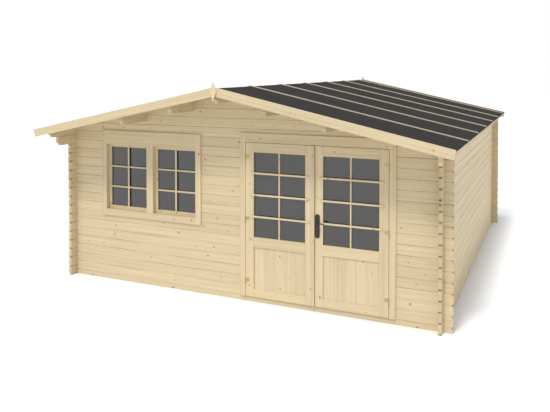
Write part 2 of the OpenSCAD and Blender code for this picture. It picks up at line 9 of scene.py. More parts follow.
import bmesh
import bpy
import numpy as np
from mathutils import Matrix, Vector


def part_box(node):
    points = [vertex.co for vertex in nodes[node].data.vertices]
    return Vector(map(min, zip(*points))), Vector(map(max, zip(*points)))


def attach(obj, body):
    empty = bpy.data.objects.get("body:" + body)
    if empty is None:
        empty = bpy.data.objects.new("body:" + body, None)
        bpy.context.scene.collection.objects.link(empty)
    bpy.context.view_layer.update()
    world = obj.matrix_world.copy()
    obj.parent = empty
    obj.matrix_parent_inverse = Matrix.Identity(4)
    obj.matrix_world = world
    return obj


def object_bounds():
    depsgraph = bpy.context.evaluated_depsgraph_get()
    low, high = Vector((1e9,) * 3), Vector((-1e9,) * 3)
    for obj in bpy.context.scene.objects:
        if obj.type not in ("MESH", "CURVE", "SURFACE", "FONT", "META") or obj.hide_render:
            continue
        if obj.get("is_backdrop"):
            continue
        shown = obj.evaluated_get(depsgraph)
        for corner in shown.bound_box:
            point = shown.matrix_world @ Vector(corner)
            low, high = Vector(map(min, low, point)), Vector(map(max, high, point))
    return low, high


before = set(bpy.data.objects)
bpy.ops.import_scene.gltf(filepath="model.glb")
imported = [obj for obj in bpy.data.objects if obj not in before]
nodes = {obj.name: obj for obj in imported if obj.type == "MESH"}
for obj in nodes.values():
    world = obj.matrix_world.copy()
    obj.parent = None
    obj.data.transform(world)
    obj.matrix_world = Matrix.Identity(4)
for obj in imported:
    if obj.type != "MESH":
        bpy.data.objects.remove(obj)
scene = bpy.context.scene
cad_box = [[float(n) for n in corner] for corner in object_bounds()]
print("solids:", len(nodes), "box:", cad_box)

# %% [markdown]
# The photo is taken from the right of the door, from a little above the ridge. Its uprights stay
# nearly parallel, so the camera looks almost level and the frame is shifted down, as with an
# architect's lens. Tilting the camera down instead would make the walls lean. Its place and turn were
# fitted to edges of the shed in the photo.

# %% Camera
SENSOR_WIDTH_MM = 36.0
FOCAL_LENGTH_MM = 42.0
FRAME_DROP = 0.2197
CAMERA_PLACE = (3.4614, -9.0798, 2.7120)
CAMERA_TILT = math.radians(88.5)
CAMERA_TURN = 0.4167
lens = bpy.data.cameras.new("photo_lens")
lens.sensor_width = SENSOR_WIDTH_MM
lens.lens = FOCAL_LENGTH_MM
lens.shift_y = -FRAME_DROP
lens.dof.use_dof = False
camera = bpy.data.objects.new("photo_camera", lens)
camera.location = CAMERA_PLACE
camera.rotation_euler = (CAMERA_TILT, 0.0, CAMERA_TURN)
scene.collection.objects.link(camera)
scene.camera = camera
print("camera at", tuple(round(n, 3) for n in camera.location))

# %% [markdown]
# The shed stands in a white studio. The camera should see plain white behind it, but a world that
# bright would fill in all the shade under the roof. The world therefore asks which kind of ray meets
# it: the camera's own rays find full white, and all others a dimmer fill.

# %% World
FILL = 0.61
WHITE = (1.0, 1.0, 1.0, 1.0)
scene.view_settings.view_transform = "Standard"
scene.view_settings.look = "None"
studio = bpy.data.worlds.new("white_studio")
studio.use_nodes = True
sky = studio.node_tree.nodes["Background"]
sky.inputs["Color"].default_value = WHITE
ray = studio.node_tree.nodes.new("ShaderNodeLightPath")
strength = studio.node_tree.nodes.new("ShaderNodeMapRange")
strength.inputs["To Min"].default_value = FILL
strength.inputs["To Max"].default_value = 1.0
studio.node_tree.links.new(ray.outputs["Is Camera Ray"], strength.inputs["Value"])
studio.node_tree.links.new(strength.outputs["Result"], sky.inputs["Strength"])
scene.world = studio
print("world: fill", FILL, "of the white that the camera sees")

# %% [markdown]
# Three suns light the shed, because their light is even over 5 m and that of lamps is not. The key
# light comes from the front, high and a little from the left: the overhang shades the upper half of
# the front, and a shadow lies beside the right wall. A broad weaker light from the right keeps that
# wall bright. A third, steeper light is tipped only a little to the front. It lets the overhang's
# shade fade out slowly down the wall, and it whitens the floor close to the walls, so that the shadow
# stays narrow.


# %% Lights
def studio_sun(name, energy, spread, from_top, turn, colour):
    """A sun with a disc of that spread, tipped from straight down by from_top and turned, in degrees."""
    light = bpy.data.lights.new(name, "SUN")
    light.energy = energy
    light.angle = math.radians(spread)
    light.color = colour
    holder = bpy.data.objects.new(name, light)
    holder.rotation_euler = (math.radians(from_top), 0.0, math.radians(turn))
    scene.collection.objects.link(holder)
    print(name, energy, "W/m2 over", spread, "degrees")


studio_sun("key_light", energy=1.95, spread=12.0, from_top=32.0, turn=-10.0, colour=(1.0, 0.975, 0.935))
studio_sun("side_light", energy=0.40, spread=60.0, from_top=65.0, turn=90.0, colour=(0.96, 0.98, 1.0))
studio_sun("top_light", energy=1.95, spread=14.0, from_top=13.0, turn=0.0, colour=(0.98, 0.99, 1.0))

# %% [markdown]
# The floor is one pale sheet, far larger than the shed, so that its edge never shows. It lies a
# millimetre below the ground, because a ray can't tell two faces in one plane apart.

# %% Floor
FLOOR_HALF = 60.0
FLOOR_DROP = 0.001
FLOOR_PAINT = (0.70, 0.715, 0.74, 1.0)
FLOOR_ROUGH = 0.9
floor_mesh = bpy.data.meshes.new("pale_floor")
floor_corners = FLOOR_HALF * np.array([[-1.0, -1.0], [1.0, -1.0], [1.0, 1.0], [-1.0, 1.0]])
floor_points = np.column_stack([floor_corners, np.full(4, -FLOOR_DROP)])
floor_mesh.from_pydata(floor_points.tolist(), [], [[0, 1, 2, 3]])
pale_floor = bpy.data.objects.new("pale_floor", floor_mesh)
scene.collection.objects.link(pale_floor)
pale_floor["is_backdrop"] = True
floor_paint = bpy.data.materials.new("pale_floor")
floor_paint.use_nodes = True
floor_shader = floor_paint.node_tree.nodes["Principled BSDF"]
floor_shader.inputs["Base Color"].default_value = FLOOR_PAINT
floor_shader.inputs["Roughness"].default_value = FLOOR_ROUGH
floor_mesh.materials.append(floor_paint)
print("floor:", np.ptp(floor_corners, axis=0), "m")

# %% [markdown]
# Timber patterns are formulas of the place on a board. Written with raw nodes such a formula is hard
# to read, so a small bench is set up first. A wire is a number that changes over the surface, and
# adding or multiplying two wires adds the Math node for it. The formulas below then read as sums.


# %% Wires
class Wire:
    """A number over the surface. Each sum, difference, product or quotient is one Math node."""

    def __init__(self, bench, socket):
        self.bench = bench
        self.socket = socket

    def __add__(self, other):
        return self.bench.math("ADD", self, other)

    def __sub__(self, other):
        return self.bench.math("SUBTRACT", self, other)

    def __rsub__(self, other):
        return self.bench.math("SUBTRACT", other, self)

    def __mul__(self, other):
        return self.bench.math("MULTIPLY", self, other)

    def __truediv__(self, other):
        return self.bench.math("DIVIDE", self, other)

    __radd__ = __add__


print("wires add, subtract, multiply and divide")

# %% [markdown]
# The bench holds one material. Each of its tools adds a node, joins the inputs and hands back the
# output as a wire. Every pattern starts from the place on the object, in metres, so that it stays on
# a board when a door leaf swings.

# %% The bench
BUMP_STRENGTH = 0.6


class Bench:
    """One material and the tools that add nodes to it."""

    def __init__(self, name, metallic=0.0):
        self.material = bpy.data.materials.new(name)
        self.material.use_nodes = True
        self.tree = self.material.node_tree
        self.shader = self.tree.nodes["Principled BSDF"]
        self.shader.inputs["Metallic"].default_value = metallic
        place = self.node("TexCoord", {})
        self.place = Wire(self, place.outputs["Object"])
        self.facing = Wire(self, place.outputs["Normal"])

    def join(self, socket, value):
        """Links a wire to the socket, or sets a plain number or colour on it."""
        if isinstance(value, Wire):
            self.tree.links.new(value.socket, socket)
        else:
            socket.default_value = value

    def node(self, kind, inputs, **settings):
        """A node of that kind; inputs maps socket names or places to wires or numbers."""
        made = self.tree.nodes.new("ShaderNode" + kind)
        for key, value in settings.items():
            setattr(made, key, value)
        for key, value in inputs.items():
            self.join(made.inputs[key], value)
        return made

    def wire(self, kind, inputs, output=0, **settings):
        """One output of a new node."""
        return Wire(self, self.node(kind, inputs, **settings).outputs[output])

    def math(self, operation, *values):
        """One Math node."""
        return self.wire("Math", dict(enumerate(values)), operation=operation)

    def length(self, a, b):
        """The root of a times a plus b times b."""
        return self.math("SQRT", a * a + b * b)

    def dot(self, vector, direction):
        """The dot product of a vector and a direction."""
        return self.wire("VectorMath", {0: vector, 1: direction}, "Value", operation="DOT_PRODUCT")

    def along(self, direction):
        """Distance of the place along a direction."""
        return self.dot(self.place, direction)

    def point(self, x, y, z):
        """Three numbers as one vector."""
        return self.wire("CombineXYZ", {0: x, 1: y, 2: z})

    def split(self, vector):
        """A vector or colour as its three numbers."""
        parts = self.node("SeparateXYZ", {0: vector})
        return [Wire(self, socket) for socket in parts.outputs]

    def noise(self, where, detail):
        """Smooth noise around 0.5, one bump per unit of where."""
        return self.wire("TexNoise", {"Vector": where, "Scale": 1.0, "Detail": detail})

    def bumps(self, per_metre, detail):
        """Noise over the place; per_metre has the number of bumps to the metre in x, y and z."""
        x, y, z = self.split(self.place)
        return self.noise(self.point(x * per_metre[0], y * per_metre[1], z * per_metre[2]), detail)

    def chances(self, number):
        """Three fixed random numbers from 0 to 1 for each whole number."""
        return self.split(self.wire("TexWhiteNoise", {"W": number}, "Color", noise_dimensions="1D"))

    def fade(self, value, start, end):
        """0 before start and 1 after end, with a smooth step between them; end may be the lower one."""
        limits = {"Value": value, "From Min": start, "From Max": end, "To Min": 0.0, "To Max": 1.0}
        return self.wire("MapRange", limits, interpolation_type="SMOOTHSTEP")

    def mix(self, share, first, second):
        """The first colour at share 0, the second at 1: inputs 6 and 7 and output 2 of a Mix node."""
        return self.wire("Mix", {0: share, 6: first, 7: second}, 2, data_type="RGBA")

    def dim(self, colour, factor):
        """A colour times a number."""
        return self.wire("VectorMath", {0: colour, "Scale": factor}, operation="SCALE")

    def finish(self, colour, height, depth, roughness):
        """Joins the colour, a bump of that depth in metres and the roughness to the shader."""
        self.join(self.shader.inputs["Base Color"], colour)
        bump = {"Height": height, "Distance": depth, "Strength": BUMP_STRENGTH}
        self.join(self.shader.inputs["Normal"], self.wire("Bump", bump))
        self.join(self.shader.inputs["Roughness"], roughness)
        return self.material


def dress(node, material):
    """Puts a finish on a CAD node in place of the plain one it came with."""
    slots = nodes[node].data.materials
    if len(slots) == 0:
        slots.append(material)
    for k in range(len(slots)):
        slots[k] = material


print("bench ready for", len(nodes), "nodes")

# %% [markdown]
# All the timber is planed, untreated spruce: pale yellow, with thin darker rings that run down the
# grain and small brown knots. A picture of wood would repeat, so the pattern is worked out from a
# board's own geometry, knots first. They are points strewn one to a cell, and a draw says which cells
# stay free and how large the others' knots are. A knot is a dark heart in a softer rim, a little longer
# down the grain, and the rings part around it.

# %% Knots
KNOT_SPACE = 0.30
KNOT_SCATTER = 0.62
KNOT_FREE = 0.40
FREE_EDGE = 0.02
SMALL_KNOT = 0.0036
KNOT_GROWTH = 0.0085
NO_KNOT = 0.0001
KNOT_SHORTER = 0.8
HEART_FULL = 0.45
RIM_REACH = 1.5
PARTING_REACH = 4.5
PARTING_FULL = 0.8
PARTING_SHARE = 0.65


def strewn_knots(bench, down, row, pitch):
    """Heart, rim, push on the rings, and two draws, size and shade, of the nearest knot.

    A cell is a knot space long and one row wide. The radius is that of a small knot plus the growth
    times the size squared, and next to nothing in a free cell. Heart, rim and push fade with the
    distance to the knot, from one multiple of the radius to another.
    """
    cells = bench.point(down / KNOT_SPACE, row, 0.0)
    strewn = {"Vector": cells, "Scale": 1.0, "Randomness": KNOT_SCATTER}
    knot = bench.node("TexVoronoi", strewn, voronoi_dimensions="2D")
    knot_down, knot_row = bench.split(Wire(bench, knot.outputs["Position"]))[:2]
    chance, size, shade = bench.split(Wire(bench, knot.outputs["Color"]))
    away_down = (down - knot_down * KNOT_SPACE) * KNOT_SHORTER
    away_across = (row - knot_row) * pitch
    there = bench.fade(chance, KNOT_FREE, KNOT_FREE + FREE_EDGE)
    radius = there * (size * size * KNOT_GROWTH + SMALL_KNOT) + NO_KNOT
    distance = bench.length(away_down, away_across)
    heart = bench.fade(distance, radius, radius * HEART_FULL)
    rim = bench.fade(distance, radius * RIM_REACH, radius)
    parting = bench.fade(distance, radius * PARTING_REACH, radius * PARTING_FULL)
    return heart, rim, away_across * parting * PARTING_SHARE, size, shade


widest_knot = 2 * (SMALL_KNOT + KNOT_GROWTH)
print("a knot each", KNOT_SPACE, "m at most, up to", round(widest_knot * 1000), "mm wide")

# %% [markdown]
# The rings are the distance to a pith line behind the face, cut into steps of a few millimetres, and
# slow noise bends them into arches. Three more noises, drawn out along the grain, give the fine fibres,
# the pale and dark streaks and a faint pink blush in broad bands. Each board draws its own tone, pith
# and offset from its number.

# %% Spruce
EARLY_WOOD = (0.611, 0.512, 0.327, 1.0)
LATE_WOOD = (0.520, 0.390, 0.219, 1.0)
PINK_WOOD = (0.594, 0.436, 0.267, 1.0)
KNOT_RIM = (0.420, 0.290, 0.150, 1.0)
KNOT_HEART = (0.220, 0.130, 0.068, 1.0)
RING_STEP = 0.0046
PITH_BEHIND = 0.012
PITH_DEEPER = 0.03
PITH_ASIDE = 0.07
RING_BEND = 0.05
BOARD_OFFSET = 37.0

# Bumps to the metre, down and across the grain
BEND_BUMPS = (0.7, 5.0)
FIBRE_BUMPS = (14.0, 620.0)
STREAK_BUMPS = (0.9, 34.0)
BLUSH_BUMPS = (0.45, 16.0)

# Where a fade starts and ends
BLUSH_FADE = (0.45, 0.75)
LATE_RISE = (0.15, 0.85)
LATE_FALL = (1.0, 0.9)

# Shares of the brightness, of the darker colours and of the relief
DARKEST = 0.735
TONE_LIGHT = 0.09
STREAK_LIGHT = 0.38
FIBRE_LIGHT = 0.10
LATE_SHARE = 0.55
BLUSH_SHARE = 0.55
RIM_SHARE = 0.25
RIM_SHARE_BY_SIZE = 0.5
HEART_SHARE = 0.1
HEART_SHARE_BY_SHADE = 0.7
LATE_RELIEF = 0.35
FIBRE_RELIEF = 0.45
KNOT_RELIEF = 0.6


def spruce(bench, along, row, pitch, depth, seed):
    """Colour and bump height of boards laid side by side.

    along is the distance down the grain and depth the distance through the board, in metres. row
    counts boards: its whole part is the board's number and its rest the place across the board,
    whose width is pitch. The ring number is the distance from (across, depth) to the pith over the
    ring step; late wood is the dark end of each step.
    """
    board = bench.math("FLOOR", row)
    tone, offset, pith = bench.chances(board + seed)
    across = (row - board - 0.5) * pitch
    down = along + offset * BOARD_OFFSET
    heart, rim, push, size, shade = strewn_knots(bench, down, row, pitch)

    def grain_noise(bumps, third, detail):
        """Noise over the board, with a third number that makes it another noise."""
        return bench.noise(bench.point(down * bumps[0], across * bumps[1], third), detail)

    bend = grain_noise(BEND_BUMPS, board + seed, detail=1.0) - 0.5
    fibre = grain_noise(FIBRE_BUMPS, depth * FIBRE_BUMPS[1], detail=2.0)
    streak = grain_noise(STREAK_BUMPS, board + seed * 2.0, detail=3.0)
    blush = bench.fade(grain_noise(BLUSH_BUMPS, board + seed * 3.0, detail=3.0), *BLUSH_FADE)
    sideways = across - push + (pith - 0.5) * PITH_ASIDE + bend * RING_BEND
    rings = bench.length(sideways, depth + pith * PITH_DEEPER + PITH_BEHIND) / RING_STEP
    step = bench.math("FRACT", rings)
    late = bench.fade(step, *LATE_RISE) * bench.fade(step, *LATE_FALL)
    colour = bench.mix(late * LATE_SHARE, EARLY_WOOD, LATE_WOOD)
    colour = bench.mix(blush * BLUSH_SHARE, colour, PINK_WOOD)
    light = tone * TONE_LIGHT + streak * STREAK_LIGHT + fibre * FIBRE_LIGHT + DARKEST
    colour = bench.dim(colour, light)
    colour = bench.mix(rim * (size * RIM_SHARE_BY_SIZE + RIM_SHARE), colour, KNOT_RIM)
    colour = bench.mix(heart * (shade * HEART_SHARE_BY_SHADE + HEART_SHARE), colour, KNOT_HEART)
    height = late * LATE_RELIEF + fibre * FIBRE_RELIEF - heart * KNOT_RELIEF
    return colour, height


print("ring step", RING_STEP * 1000, "mm, pith at least", PITH_BEHIND * 1000, "mm behind the face")

# %% [markdown]
# A plane leaves the board smooth, with a dull sheen. The relief of rings and fibres is half a
# millimetre at most, and its high places are a little duller.

# %% Planed finish
PLANED_DEPTH = 0.0005
PLANED_ROUGH = 0.56
RELIEF_ROUGH = 0.12


def planed(bench, colour, height):
    """The finish of a planed board; its roughness grows with the height."""
    return bench.finish(colour, height, PLANED_DEPTH, height * RELIEF_ROUGH + PLANED_ROUGH)


print("planed relief:", PLANED_DEPTH * 1000, "mm")

# %% [markdown]
# A wall is a stack of logs, 115 mm apart. The front and rear walls start half a log lower than the
# side walls, so that the logs can cross at the corners; the sill log under the front is half a log.
# Counting the courses from the height gives each log its own number. Between two logs is a V-shaped
# groove, and the colour dips there, unevenly along the wall: painted shade together with dust. A log's
# sawn end is darker than its face. In the notch where two ends meet it is darker still, a painted shade.

# %% Log finish
RIGHT = (1, 0, 0)
BACK = (0, 1, 0)
UP = (0, 0, 1)
COURSE = 2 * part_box("front_sill_log")[1].z
END_BEVEL = 0.016
GROOVE_HALF = 0.0042
GROOVE_CORE = 0.001
# Painted shade and dust in the grooves between logs, patchy along the wall
SHADE_AND_DUST_BUMPS = 1.7
SHADE_AND_DUST_STEP = 3.1
SHADE_AND_DUST_START = 0.36
SHADE_AND_DUST_FULL = 0.70
SHADE_AND_DUST_LOSS = 0.48
SAWN_SKIN = 0.0012
SAWN_FULL = 0.0004
SAWN_LOSS = 0.14
# The notch where two log ends meet: a painted shade
NOTCH_FULL = 0.7
NOTCH_BEFORE = 0.001
NOTCH_AFTER = 0.002
NOTCH_SHADE_LOSS = 0.42


def off_middle(bench, row, pitch):
    """Distance across a board from its middle: the rest of row less a half, times the pitch."""
    return bench.math("ABSOLUTE", bench.math("FRACT", row) - 0.5) * pitch


def wall_timber(name, grain, through, wall_at, first_row, middle, reach, seed):
    """Logs of one wall: grain and through are directions, reach the half length from the middle.

    wall_at is where the wall's middle plane lies, and first_row the share of a log below the ground.
    """
    bench = Bench(name + "_timber")
    along = bench.along(grain)
    row = bench.along(UP) / COURSE + first_row
    depth = bench.along(through) - wall_at
    colour, height = spruce(bench, along, row, COURSE, depth, seed)
    place = off_middle(bench, row, COURSE)
    joint = COURSE / 2
    groove = bench.fade(place, joint - GROOVE_HALF, joint - GROOVE_CORE)
    nearest_joint = bench.math("FLOOR", row + 0.5)
    shade_and_dust = bench.noise(bench.point(along * SHADE_AND_DUST_BUMPS, nearest_joint * SHADE_AND_DUST_STEP, seed), detail=2.0)
    from_middle = bench.math("ABSOLUTE", along - middle)
    sawn = bench.fade(from_middle, reach - SAWN_SKIN, reach - SAWN_FULL)
    near_joint = bench.fade(place, joint - END_BEVEL, joint - END_BEVEL * NOTCH_FULL)
    notch_at = reach - END_BEVEL
    notch_shade = bench.fade(from_middle, notch_at - NOTCH_BEFORE, notch_at + NOTCH_AFTER) * near_joint
    # The groove's dip is painted shade together with dust
    colour = bench.dim(colour, 1.0 - groove * bench.fade(shade_and_dust, SHADE_AND_DUST_START, SHADE_AND_DUST_FULL) * SHADE_AND_DUST_LOSS)
    # Sawn ends are darker end grain; the notch's dip is painted shade
    colour = bench.dim(colour, (1.0 - sawn * SAWN_LOSS) * (1.0 - notch_shade * NOTCH_SHADE_LOSS))
    return planed(bench, colour, height)


print("log course:", round(COURSE * 1000, 1), "mm")

# %% [markdown]
# Each wall node gets its own finish, so that every piece of wall shows other logs. The logs of the
# front and rear walls run from left to right and end at half the shed's width; those of the side walls
# run from front to back and end at the ends of their own box.

# %% Log walls
GABLE_WALLS = [
    "front_sill_log",
    "front_wall_below_window",
    "front_wall_beside_window",
    "front_wall_between",
    "front_wall_over_window",
    "front_wall_right",
    "front_gable",
    "rear_wall",
]
SIDE_WALLS = ["left_wall", "left_wall_plate", "right_wall", "right_wall_plate"]
HALF_LOG = 0.5
gable_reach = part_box("front_sill_log")[1].x
for k, node in enumerate(GABLE_WALLS):
    low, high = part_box(node)
    wall_at = (low.y + high.y) / 2
    timber = wall_timber(node, RIGHT, BACK, wall_at, HALF_LOG, 0.0, gable_reach, seed=31 * k)
    dress(node, timber)
for k, node in enumerate(SIDE_WALLS):
    low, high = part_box(node)
    wall_at = (low.x + high.x) / 2
    middle = (low.y + high.y) / 2
    reach = (high.y - low.y) / 2
    timber = wall_timber(node, BACK, RIGHT, wall_at, 0.0, middle, reach, seed=31 * k + 400)
    dress(node, timber)
print("log walls:", len(GABLE_WALLS) + len(SIDE_WALLS))

# %% [markdown]
# A single board needs no counting: its box says where it lies, and the grain runs along its longest
# side. That covers the purlins, the jambs and heads of the door and window, the window's sill and
# mullion, the finials and the strip over the gap between the leaves. A purlin's sawn end is darker than
# its sides, and the direction a face looks in tells them apart. The two uprights beside the window
# share one node, so their rows are given to put each whole upright into one row.

# %% Boards and beams
ROW_MARGIN = 0.001
END_FACING = (0.55, 0.65)
BEAM_END_LOSS = 0.20
UPRIGHTS = ["door_left_jamb", "door_right_jamb", "window_mullion", "finials", "door_cover_strip"]
LEVEL_BOARDS = ["door_head", "window_head", "window_sill"]
BEAMS = ["ridge_purlin", "left_purlins", "right_purlins"]


def one_row(low, high):
    """Start and pitch of a row that holds a whole board, with a millimetre to spare at both edges."""
    return low - ROW_MARGIN, high - low + 2 * ROW_MARGIN


def board_timber(name, grain, across, rows, face, seed, light=1.0, end_loss=0.0):
    """One board or a row of boards: rows are counted across from a start in steps of a pitch.

    rows holds that start and pitch, and face is where the boards' front lies. light is the share of
    the usual brightness that these boards have, below 1 a painted shade. Sawn ends, which face along
    the grain, lose a further share, end_loss.
    """
    bench = Bench(name + "_timber")
    start, pitch = rows
    row = (bench.along(across) - start) / pitch
    depth = bench.along(BACK) - face
    colour, height = spruce(bench, bench.along(grain), row, pitch, depth, seed)
    if end_loss > 0.0:
        lengthwise = bench.math("ABSOLUTE", bench.dot(bench.facing, grain))
        light = light - bench.fade(lengthwise, *END_FACING) * end_loss
    return planed(bench, bench.dim(colour, light), height)


for k, node in enumerate(UPRIGHTS):
    low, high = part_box(node)
    dress(node, board_timber(node, UP, RIGHT, one_row(low.x, high.x), low.y, seed=7 * k + 600))
for k, node in enumerate(LEVEL_BOARDS):
    low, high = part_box(node)
    dress(node, board_timber(node, RIGHT, UP, one_row(low.z, high.z), low.y, seed=7 * k + 700))
for k, node in enumerate(BEAMS):
    low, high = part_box(node)
    rows = one_row(low.z, high.z)
    dress(node, board_timber(node, BACK, UP, rows, low.y, seed=7 * k + 800, end_loss=BEAM_END_LOSS))

JAMB_WIDTH = 0.07
JAMB_MARGIN = 0.012
ROWS_TO_NEXT_JAMB = 14
jambs_low, jambs_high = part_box("window_jambs")
jamb_pitch = (jambs_high.x - jambs_low.x - JAMB_WIDTH) / ROWS_TO_NEXT_JAMB
jamb_rows = (jambs_low.x - JAMB_MARGIN, jamb_pitch)
dress("window_jambs", board_timber("window_jambs", UP, RIGHT, jamb_rows, jambs_low.y, seed=900))
print("boards and beams:", len(UPRIGHTS) + len(LEVEL_BOARDS) + len(BEAMS) + 1)

# %% [markdown]
# The bargeboards climb with the roof at 12.2 degrees, so their grain does too: the directions along
# and across the board are the level and upright ones, turned by the pitch. They hang out in the full
# light, so their colour gets a slight painted shade, which brings them to the tone they have in the
# photo.

# %% Bargeboards
PITCH = math.radians(12.2)
BARGE_WIDTH = 0.098
# Share of the usual brightness left after a painted shade on the bargeboards
BARGE_SHADED_LIGHT = 0.94
BARGES = {
    "front_left_bargeboard": 1,
    "front_right_bargeboard": -1,
    "rear_left_bargeboard": 1,
    "rear_right_bargeboard": -1,
}


def slope_axes(climb):
    """Directions along and square to a slope: (cos, 0, sin) and (-sin, 0, cos); climb is 1 or -1."""
    rise = climb * math.sin(PITCH)
    return (math.cos(PITCH), 0.0, rise), (-rise, 0.0, math.cos(PITCH))


for k, (node, climb) in enumerate(BARGES.items()):
    low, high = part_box(node)
    grain, square = slope_axes(climb)
    top = high.z * math.cos(PITCH)
    rows = one_row(top - BARGE_WIDTH, top)
    dress(node, board_timber(node, grain, square, rows, low.y, seed=11 * k + 1000, light=BARGE_SHADED_LIGHT))
print("bargeboards:", len(BARGES))

# %% [markdown]
# The roof is boarded from ridge to eaves with matched boards, about 96 mm wide. Their joints show as
# thin dark lines under the overhang and inside. The solids have each slope as one sheet, so the joints
# are a dip in the colour and in the bump.

# %% Roof boards
DECK_BOARD = 0.096
DECK_GROOVE_HALF = 0.004
DECK_GROOVE_LOSS = 0.55
DECK_GROOVE_DIP = 2.0
for k, node in enumerate(["left_roof_deck", "right_roof_deck"]):
    bench = Bench(node + "_timber")
    row = bench.along(BACK) / DECK_BOARD
    colour, height = spruce(bench, bench.along(RIGHT), row, DECK_BOARD, 0.0, seed=17 * k + 1200)
    place = off_middle(bench, row, DECK_BOARD)
    groove = bench.fade(place, DECK_BOARD / 2 - DECK_GROOVE_HALF, DECK_BOARD / 2 - GROOVE_CORE)
    colour = bench.dim(colour, 1.0 - groove * DECK_GROOVE_LOSS)
    dress(node, planed(bench, colour, height - groove * DECK_GROOVE_DIP))
print("roof boards:", DECK_BOARD * 1000, "mm")

# %% [markdown]
# On top, each seam of the felt lies under a batten, which is sawn, thin and already greyed. All the
# battens of a slope are one node, so the distance from front to back is first counted in battens, and
# what is left of it is the place across one batten.

# %% Battens
BATTEN_STEP = 0.93
BATTEN_WIDTH = 0.024
GREYED_WOOD = (0.400, 0.400, 0.325, 1.0)
GREYED_SHARE = 0.7
for k, node in enumerate(["left_roof_battens", "right_roof_battens"]):
    low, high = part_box(node)
    bench = Bench(node + "_timber")
    run = bench.along(BACK) - (low.y - ROW_MARGIN)
    count = bench.math("FLOOR", run / BATTEN_STEP)
    row = count + (run - count * BATTEN_STEP) / (BATTEN_WIDTH + 2 * ROW_MARGIN)
    colour, height = spruce(bench, bench.along(RIGHT), row, BATTEN_WIDTH, 0.0, seed=19 * k + 1300)
    dress(node, planed(bench, bench.mix(GREYED_SHARE, colour, GREYED_WOOD), height))
battens_per_slope = round((high.y - low.y - BATTEN_WIDTH) / BATTEN_STEP) + 1
print("battens:", battens_per_slope, "on a slope, each", BATTEN_STEP, "m")

# %% [markdown]
# A door leaf or a sash is a frame of two stiles and cross rails. The stiles run through and the rails
# are jointed between them, so the grain turns at each corner. One finish holds both directions, and
# the place across the leaf decides which one shows. The joint between them is a hairline.

# %% Finish of a frame
RAIL_SEED = 50
JOINT_EDGE = 0.0002
HAIRLINE_HALF = 0.0016
HAIRLINE_CORE = 0.0004
HAIRLINE_LOSS = 0.35


def frame_timber(name, openings, stile_rows, rail_rows, face, seed):
    """Rails with level grain between the stiles: openings lists where rails run, as spans of x.

    stile_rows and rail_rows are (start, pitch) of the rows that the stiles and the rails lie in.
    """
    bench = Bench(name + "_timber")
    x = bench.along(RIGHT)
    z = bench.along(UP)
    depth = bench.along(BACK) - face
    start, pitch = stile_rows
    stile, stile_height = spruce(bench, z, (x - start) / pitch, pitch, depth, seed)
    start, pitch = rail_rows
    rail, rail_height = spruce(bench, x, (z - start) / pitch, pitch, depth, seed + RAIL_SEED)
    between = 0.0
    hairline = 0.0
    for left, right in openings:
        inside = bench.fade(x, left, left + JOINT_EDGE) * bench.fade(x, right, right - JOINT_EDGE)
        from_middle = bench.math("ABSOLUTE", x - (left + right) / 2)
        from_joint = bench.math("ABSOLUTE", from_middle - (right - left) / 2)
        between = inside + between
        hairline = bench.fade(from_joint, HAIRLINE_HALF, HAIRLINE_CORE) + hairline
    colour = bench.mix(between, stile, rail)
    colour = bench.dim(colour, 1.0 - hairline * HAIRLINE_LOSS)
    height = stile_height + (rail_height - stile_height) * between - hairline
    return planed(bench, colour, height)


print("joint hairline:", 2 * HAIRLINE_HALF * 1000, "mm with its soft edges")

# %% [markdown]
# The rows of a leaf's stiles start a little left of it, with a pitch that puts each stile into one row.
# Where the rails run follows from the pane: it sits in a groove of the frame, so the opening is the
# pane's box less that seat.

# %% Frames of the leaves
GLASS_SEAT = 0.009
LEAF_RAIL_ROWS = (0.6395, 0.1215)
LEAF_STILE_ROWS = {"left": (0.115, 0.1235), "right": (0.110, 0.121)}
leaf_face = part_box("left_door_frame")[0].y
leaf_spans = {}
for k, (side, (margin, pitch)) in enumerate(LEAF_STILE_ROWS.items()):
    low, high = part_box(side + "_door_glass")
    span = (low.x + GLASS_SEAT, high.x - GLASS_SEAT)
    stiles = (span[0] - margin, pitch)
    timber = frame_timber(side + "_leaf", [span], stiles, LEAF_RAIL_ROWS, leaf_face, seed=100 * k + 1500)
    dress(side + "_door_frame", timber)
    leaf_spans[side] = span
print("leaf openings:", {side: [round(x, 3) for x in span] for side, span in leaf_spans.items()})

# %% [markdown]
# The two sashes share one node, and so do their panes. The mullion and a stile of each sash lie
# between the two openings. These are equally wide, so the box of the panes gives their edges.

# %% Frames of the sashes
MULLION = 0.092
SASH_STILE = 0.0403
SASH_STILE_ROWS = (0.0103, 0.0708)
SASH_RAIL_ROWS = (0.002, 0.0605)
panes_low, panes_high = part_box("window_glass")
sash_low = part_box("window_sashes")[0]
pane_gap = MULLION + 2 * SASH_STILE
light_width = (panes_high.x - panes_low.x - 2 * GLASS_SEAT - pane_gap) / 2
light_left = panes_low.x + GLASS_SEAT
sash_spans = [
    (light_left, light_left + light_width),
    (light_left + light_width + pane_gap, light_left + 2 * light_width + pane_gap),
]
sash_stiles = (sash_low.x - SASH_STILE_ROWS[0], SASH_STILE_ROWS[1])
sash_rails = (sash_low.z - SASH_RAIL_ROWS[0], SASH_RAIL_ROWS[1])
timber = frame_timber("sashes", sash_spans, sash_stiles, sash_rails, sash_low.y, seed=1700)
dress("window_sashes", timber)
print("sash openings:", [[round(x, 3) for x in span] for span in sash_spans])

# %% [markdown]
# The lower part of each leaf is filled with upright boards. Their V-grooves are in the solids; the
# finish only has to change from board to board, so the rows start at the opening's left edge and step
# by a board's width.

